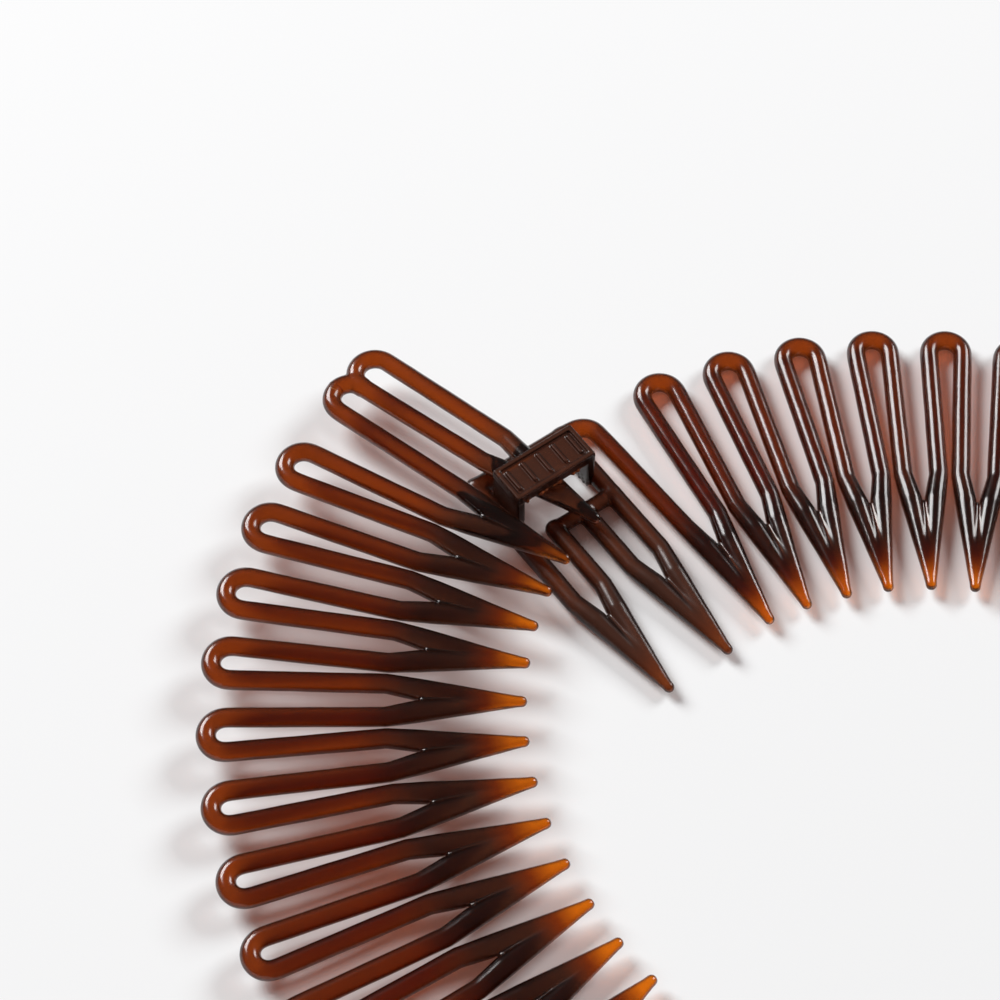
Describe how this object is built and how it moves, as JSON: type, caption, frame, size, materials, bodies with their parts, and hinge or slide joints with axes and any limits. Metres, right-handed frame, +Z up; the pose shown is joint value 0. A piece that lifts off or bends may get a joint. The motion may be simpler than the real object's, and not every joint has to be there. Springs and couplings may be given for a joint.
{
  "type": "stretch comb headband",
  "caption": "Flat zigzag ring of springy hairpin links with inward comb teeth, closed by a hook tooth under a bridged clasp.",
  "frame": {"origin": "centre of the ring as seen from above, at the surface it lies on", "axes": "+Z up out of the flat ring; the clasp is at -X +Y; +X points away from the hook side, across the head opening"},
  "size_m": [0.1396, 0.1214, 0.0061],
  "materials": {
    "resin": "glossy translucent brown, amber where thin",
    "resin_clasp": "glossy translucent dark brown, rough moulded edges"
  },
  "bodies": {
    "clasp": {"clasp_frame": "resin_clasp", "clasp_bridge": "resin_clasp"},
    "link_01": {"comb_link_01": "resin"},
    "link_02": {"comb_link_02": "resin"},
    "link_03": {"comb_link_03": "resin"},
    "link_04": {"comb_link_04": "resin"},
    "link_05": {"comb_link_05": "resin"},
    "link_06": {"comb_link_06": "resin"},
    "link_07": {"comb_link_07": "resin"},
    "link_08": {"comb_link_08": "resin"},
    "link_09": {"comb_link_09": "resin"},
    "link_10": {"comb_link_10": "resin"},
    "link_11": {"comb_link_11": "resin"},
    "link_12": {"comb_link_12": "resin"},
    "link_13": {"comb_link_13": "resin"},
    "link_14": {"comb_link_14": "resin"},
    "link_15": {"comb_link_15": "resin"},
    "link_16": {"comb_link_16": "resin"},
    "link_17": {"comb_link_17": "resin"},
    "link_18": {"comb_link_18": "resin"},
    "link_19": {"comb_link_19": "resin"},
    "link_20": {"comb_link_20": "resin"},
    "link_21": {"comb_link_21": "resin"},
    "link_22": {"comb_link_22": "resin"},
    "link_23": {"comb_link_23": "resin"},
    "link_24": {"comb_link_24": "resin"},
    "link_25": {"comb_link_25": "resin"},
    "link_26": {"comb_link_26": "resin"},
    "link_27": {"comb_link_27": "resin"},
    "link_28": {"comb_link_28": "resin"},
    "link_29": {"comb_link_29": "resin"},
    "link_30": {"comb_link_30": "resin"},
    "link_31": {"comb_link_31": "resin"},
    "link_32": {"comb_link_32": "resin"},
    "link_33": {"comb_link_33": "resin"},
    "link_34": {"comb_link_34": "resin"},
    "link_35": {"comb_link_35": "resin"},
    "link_36": {"comb_link_36": "resin"},
    "link_37": {"comb_link_37": "resin"},
    "link_38": {"comb_link_38": "resin"},
    "link_39": {"comb_link_39": "resin"},
    "link_40": {"comb_link_40": "resin"},
    "link_41": {"comb_link_41": "resin"},
    "link_42": {"comb_link_42": "resin"},
    "link_43": {"comb_link_43": "resin"},
    "link_44": {"comb_link_44": "resin"},
    "link_45": {"comb_link_45": "resin"},
    "link_46": {"comb_link_46": "resin"},
    "link_47": {"comb_link_47": "resin"},
    "link_48": {"comb_link_48": "resin"},
    "link_49": {"comb_link_49": "resin"},
    "bend_32": {"hairpin_bend_32": "resin"},
    "bend_33": {"hairpin_bend_33": "resin"},
    "bend_34": {"hairpin_bend_34": "resin"},
    "bend_35": {"hairpin_bend_35": "resin"},
    "bend_36": {"hairpin_bend_36": "resin"},
    "bend_37": {"hairpin_bend_37": "resin"},
    "bend_38": {"hairpin_bend_38": "resin"},
    "bend_39": {"hairpin_bend_39": "resin"},
    "hook": {"hook_end": "resin"}
  },
  "joints": [
    {"name": "stretch", "type": "slide", "parent": "clasp", "child": "link_01", "axis": [0.8111, 0.585, 0], "range_m": [0, 0.0022], "stiffness_N_per_m": 6000},
    {"name": "stretch_01", "type": "slide", "parent": "link_01", "child": "link_02", "axis": [0.9097, 0.4153, 0], "range_m": [0, 0.00224]},
    {"name": "stretch_02", "type": "slide", "parent": "link_02", "child": "link_03", "axis": [0.955, 0.2968, 0], "range_m": [0, 0.00226]},
    {"name": "stretch_03", "type": "slide", "parent": "link_03", "child": "link_04", "axis": [0.9843, 0.1764, 0], "range_m": [0, 0.00228]},
    {"name": "stretch_04", "type": "slide", "parent": "link_04", "child": "link_05", "axis": [0.9984, 0.0568, 0], "range_m": [0, 0.00229]},
    {"name": "stretch_05", "type": "slide", "parent": "link_05", "child": "link_06", "axis": [0.9982, -0.0604, 0], "range_m": [0, 0.00231]},
    {"name": "stretch_06", "type": "slide", "parent": "link_06", "child": "link_07", "axis": [0.9848, -0.1738, 0], "range_m": [0, 0.00231]},
    {"name": "stretch_07", "type": "slide", "parent": "link_07", "child": "link_08", "axis": [0.9592, -0.2827, 0], "range_m": [0, 0.00232]},
    {"name": "stretch_08", "type": "slide", "parent": "link_08", "child": "link_09", "axis": [0.9222, -0.3868, 0], "range_m": [0, 0.00232]},
    {"name": "stretch_09", "type": "slide", "parent": "link_09", "child": "link_10", "axis": [0.874, -0.4859, 0], "range_m": [0, 0.00232]},
    {"name": "stretch_10", "type": "slide", "parent": "link_10", "child": "link_11", "axis": [0.8148, -0.5798, 0], "range_m": [0, 0.00232]},
    {"name": "stretch_11", "type": "slide", "parent": "link_11", "child": "link_12", "axis": [0.744, -0.6682, 0], "range_m": [0, 0.00231]},
    {"name": "stretch_12", "type": "slide", "parent": "link_12", "child": "link_13", "axis": [0.6613, -0.7502, 0], "range_m": [0, 0.0023]},
    {"name": "stretch_13", "type": "slide", "parent": "link_13", "child": "link_14", "axis": [0.566, -0.8244, 0], "range_m": [0, 0.00229]},
    {"name": "stretch_14", "type": "slide", "parent": "link_14", "child": "link_15", "axis": [0.458, -0.8889, 0], "range_m": [0, 0.00227]},
    {"name": "stretch_15", "type": "slide", "parent": "link_15", "child": "link_16", "axis": [0.3377, -0.9413, 0], "range_m": [0, 0.00225]},
    {"name": "stretch_16", "type": "slide", "parent": "link_16", "child": "link_17", "axis": [0.206, -0.9785, 0], "range_m": [0, 0.00223]},
    {"name": "stretch_17", "type": "slide", "parent": "link_17", "child": "link_18", "axis": [0.0652, -0.9979, 0], "range_m": [0, 0.0022]},
    {"name": "stretch_18", "type": "slide", "parent": "link_18", "child": "link_19", "axis": [-0.0816, -0.9967, 0], "range_m": [0, 0.00217]},
    {"name": "stretch_19", "type": "slide", "parent": "link_19", "child": "link_20", "axis": [-0.2304, -0.9731, 0], "range_m": [0, 0.00213]},
    {"name": "stretch_20", "type": "slide", "parent": "link_20", "child": "link_21", "axis": [-0.3762, -0.9266, 0], "range_m": [0, 0.0021]},
    {"name": "stretch_21", "type": "slide", "parent": "link_21", "child": "link_22", "axis": [-0.5141, -0.8578, 0], "range_m": [0, 0.00206]},
    {"name": "stretch_22", "type": "slide", "parent": "link_22", "child": "link_23", "axis": [-0.6393, -0.7689, 0], "range_m": [0, 0.00202]},
    {"name": "stretch_23", "type": "slide", "parent": "link_23", "child": "link_24", "axis": [-0.748, -0.6637, 0], "range_m": [0, 0.00199]},
    {"name": "stretch_24", "type": "slide", "parent": "link_24", "child": "link_25", "axis": [-0.8376, -0.5464, 0], "range_m": [0, 0.00196]},
    {"name": "stretch_25", "type": "slide", "parent": "link_25", "child": "link_26", "axis": [-0.9066, -0.4219, 0], "range_m": [0, 0.00193]},
    {"name": "stretch_26", "type": "slide", "parent": "link_26", "child": "link_27", "axis": [-0.9555, -0.295, 0], "range_m": [0, 0.00191]},
    {"name": "stretch_27", "type": "slide", "parent": "link_27", "child": "link_28", "axis": [-0.9855, -0.1698, 0], "range_m": [0, 0.00189]},
    {"name": "stretch_28", "type": "slide", "parent": "link_28", "child": "link_29", "axis": [-0.9988, -0.0497, 0], "range_m": [0, 0.00187]},
    {"name": "stretch_29", "type": "slide", "parent": "link_29", "child": "link_30", "axis": [-0.998, 0.0633, 0], "range_m": [0, 0.00186]},
    {"name": "stretch_30", "type": "slide", "parent": "link_30", "child": "link_31", "axis": [-0.9858, 0.168, 0], "range_m": [0, 0.00186]},
    {"name": "stretch_31", "type": "slide", "parent": "link_31", "child": "link_32", "axis": [-0.9645, 0.2642, 0], "range_m": [0, 0.00185]},
    {"name": "stretch_32", "type": "slide", "parent": "link_32", "child": "bend_32", "axis": [-0.9359, 0.3523, 0], "range_m": [0, 0.00185]},
    {"name": "unclasp", "type": "slide", "parent": "bend_32", "child": "link_33", "axis": [-0.9359, 0.3523, 0], "range_m": [0, 0.00136], "stiffness_N_per_m": 400},
    {"name": "stretch_33", "type": "slide", "parent": "link_33", "child": "bend_33", "axis": [-0.9013, 0.4332, 0], "range_m": [0, 0.00185]},
    {"name": "unclasp_33", "type": "slide", "parent": "bend_33", "child": "link_34", "axis": [-0.9013, 0.4332, 0], "range_m": [0, 0.00142]},
    {"name": "stretch_34", "type": "slide", "parent": "link_34", "child": "bend_34", "axis": [-0.8613, 0.5082, 0], "range_m": [0, 0.00185]},
    {"name": "unclasp_34", "type": "slide", "parent": "bend_34", "child": "link_35", "axis": [-0.8613, 0.5082, 0], "range_m": [0, 0.00149]},
    {"name": "stretch_35", "type": "slide", "parent": "link_35", "child": "bend_35", "axis": [-0.8158, 0.5783, 0], "range_m": [0, 0.00185]},
    {"name": "unclasp_35", "type": "slide", "parent": "bend_35", "child": "link_36", "axis": [-0.8158, 0.5783, 0], "range_m": [0, 0.00156]},
    {"name": "stretch_36", "type": "slide", "parent": "link_36", "child": "bend_36", "axis": [-0.7645, 0.6446, 0], "range_m": [0, 0.00186]},
    {"name": "unclasp_36", "type": "slide", "parent": "bend_36", "child": "link_37", "axis": [-0.7645, 0.6446, 0], "range_m": [0, 0.00163]},
    {"name": "stretch_37", "type": "slide", "parent": "link_37", "child": "bend_37", "axis": [-0.7065, 0.7077, 0], "range_m": [0, 0.00186]},
    {"name": "unclasp_37", "type": "slide", "parent": "bend_37", "child": "link_38", "axis": [-0.7065, 0.7077, 0], "range_m": [0, 0.00169]},
    {"name": "stretch_38", "type": "slide", "parent": "link_38", "child": "bend_38", "axis": [-0.6408, 0.7677, 0], "range_m": [0, 0.00187]},
    {"name": "unclasp_38", "type": "slide", "parent": "bend_38", "child": "link_39", "axis": [-0.6408, 0.7677, 0], "range_m": [0, 0.00176]},
    {"name": "stretch_39", "type": "slide", "parent": "link_39", "child": "bend_39", "axis": [-0.5663, 0.8242, 0], "range_m": [0, 0.00188]},
    {"name": "unclasp_39", "type": "slide", "parent": "bend_39", "child": "link_40", "axis": [-0.5663, 0.8242, 0], "range_m": [0, 0.00184]},
    {"name": "stretch_40", "type": "slide", "parent": "link_40", "child": "link_41", "axis": [-0.4823, 0.876, 0], "range_m": [0, 0.00189]},
    {"name": "stretch_41", "type": "slide", "parent": "link_41", "child": "link_42", "axis": [-0.3882, 0.9216, 0], "range_m": [0, 0.00191]},
    {"name": "stretch_42", "type": "slide", "parent": "link_42", "child": "link_43", "axis": [-0.2842, 0.9588, 0], "range_m": [0, 0.00193]},
    {"name": "stretch_43", "type": "slide", "parent": "link_43", "child": "link_44", "axis": [-0.1711, 0.9853, 0], "range_m": [0, 0.00195]},
    {"name": "stretch_44", "type": "slide", "parent": "link_44", "child": "link_45", "axis": [-0.0505, 0.9987, 0], "range_m": [0, 0.00197]},
    {"name": "stretch_45", "type": "slide", "parent": "link_45", "child": "link_46", "axis": [0.075, 0.9972, 0], "range_m": [0, 0.002]},
    {"name": "stretch_46", "type": "slide", "parent": "link_46", "child": "link_47", "axis": [0.2025, 0.9793, 0], "range_m": [0, 0.00203]},
    {"name": "stretch_47", "type": "slide", "parent": "link_47", "child": "link_48", "axis": [0.3286, 0.9445, 0], "range_m": [0, 0.00206]},
    {"name": "stretch_48", "type": "slide", "parent": "link_48", "child": "link_49", "axis": [0.4496, 0.8932, 0], "range_m": [0, 0.00209]},
    {"name": "stretch_49", "type": "slide", "parent": "link_49", "child": "hook", "axis": [0.6293, 0.7771, 0], "range_m": [0, 0.00214]}
  ],
  "couplings": [
    {"joint": "stretch_01", "follows": "stretch", "ratio": 1.0174},
    {"joint": "stretch_02", "follows": "stretch", "ratio": 1.0272},
    {"joint": "stretch_03", "follows": "stretch", "ratio": 1.0355},
    {"joint": "stretch_04", "follows": "stretch", "ratio": 1.0423},
    {"joint": "stretch_05", "follows": "stretch", "ratio": 1.0476},
    {"joint": "stretch_06", "follows": "stretch", "ratio": 1.0515},
    {"joint": "stretch_07", "follows": "stretch", "ratio": 1.0539},
    {"joint": "stretch_08", "follows": "stretch", "ratio": 1.055},
    {"joint": "stretch_09", "follows": "stretch", "ratio": 1.0548},
    {"joint": "stretch_10", "follows": "stretch", "ratio": 1.0533},
    {"joint": "stretch_11", "follows": "stretch", "ratio": 1.0504},
    {"joint": "stretch_12", "follows": "stretch", "ratio": 1.046},
    {"joint": "stretch_13", "follows": "stretch", "ratio": 1.0401},
    {"joint": "stretch_14", "follows": "stretch", "ratio": 1.0324},
    {"joint": "stretch_15", "follows": "stretch", "ratio": 1.023},
    {"joint": "stretch_16", "follows": "stretch", "ratio": 1.0118},
    {"joint": "stretch_17", "follows": "stretch", "ratio": 0.99891},
    {"joint": "stretch_18", "follows": "stretch", "ratio": 0.98448},
    {"joint": "stretch_19", "follows": "stretch", "ratio": 0.96885},
    {"joint": "stretch_20", "follows": "stretch", "ratio": 0.95246},
    {"joint": "stretch_21", "follows": "stretch", "ratio": 0.93583},
    {"joint": "stretch_22", "follows": "stretch", "ratio": 0.91954},
    {"joint": "stretch_23", "follows": "stretch", "ratio": 0.90411},
    {"joint": "stretch_24", "follows": "stretch", "ratio": 0.89001},
    {"joint": "stretch_25", "follows": "stretch", "ratio": 0.87759},
    {"joint": "stretch_26", "follows": "stretch", "ratio": 0.86705},
    {"joint": "stretch_27", "follows": "stretch", "ratio": 0.85842},
    {"joint": "stretch_28", "follows": "stretch", "ratio": 0.85166},
    {"joint": "stretch_29", "follows": "stretch", "ratio": 0.8466},
    {"joint": "stretch_30", "follows": "stretch", "ratio": 0.84304},
    {"joint": "stretch_31", "follows": "stretch", "ratio": 0.84076},
    {"joint": "stretch_32", "follows": "stretch", "ratio": 0.83955},
    {"joint": "stretch_33", "follows": "stretch", "ratio": 0.83926},
    {"joint": "unclasp_33", "follows": "unclasp", "ratio": 1.0503},
    {"joint": "stretch_34", "follows": "stretch", "ratio": 0.83977},
    {"joint": "unclasp_34", "follows": "unclasp", "ratio": 1.0999},
    {"joint": "stretch_35", "follows": "stretch", "ratio": 0.84103},
    {"joint": "unclasp_35", "follows": "unclasp", "ratio": 1.1492},
    {"joint": "stretch_36", "follows": "stretch", "ratio": 0.84304},
    {"joint": "unclasp_36", "follows": "unclasp", "ratio": 1.199},
    {"joint": "stretch_37", "follows": "stretch", "ratio": 0.84586},
    {"joint": "unclasp_37", "follows": "unclasp", "ratio": 1.2498},
    {"joint": "stretch_38", "follows": "stretch", "ratio": 0.84956},
    {"joint": "unclasp_38", "follows": "unclasp", "ratio": 1.3021},
    {"joint": "stretch_39", "follows": "stretch", "ratio": 0.85428},
    {"joint": "unclasp_39", "follows": "unclasp", "ratio": 1.356},
    {"joint": "stretch_40", "follows": "stretch", "ratio": 0.86016},
    {"joint": "stretch_41", "follows": "stretch", "ratio": 0.8673},
    {"joint": "stretch_42", "follows": "stretch", "ratio": 0.87579},
    {"joint": "stretch_43", "follows": "stretch", "ratio": 0.88566},
    {"joint": "stretch_44", "follows": "stretch", "ratio": 0.89685},
    {"joint": "stretch_45", "follows": "stretch", "ratio": 0.90921},
    {"joint": "stretch_46", "follows": "stretch", "ratio": 0.92251},
    {"joint": "stretch_47", "follows": "stretch", "ratio": 0.93643},
    {"joint": "stretch_48", "follows": "stretch", "ratio": 0.95061},
    {"joint": "stretch_49", "follows": "stretch", "ratio": 0.97347}
  ]
}
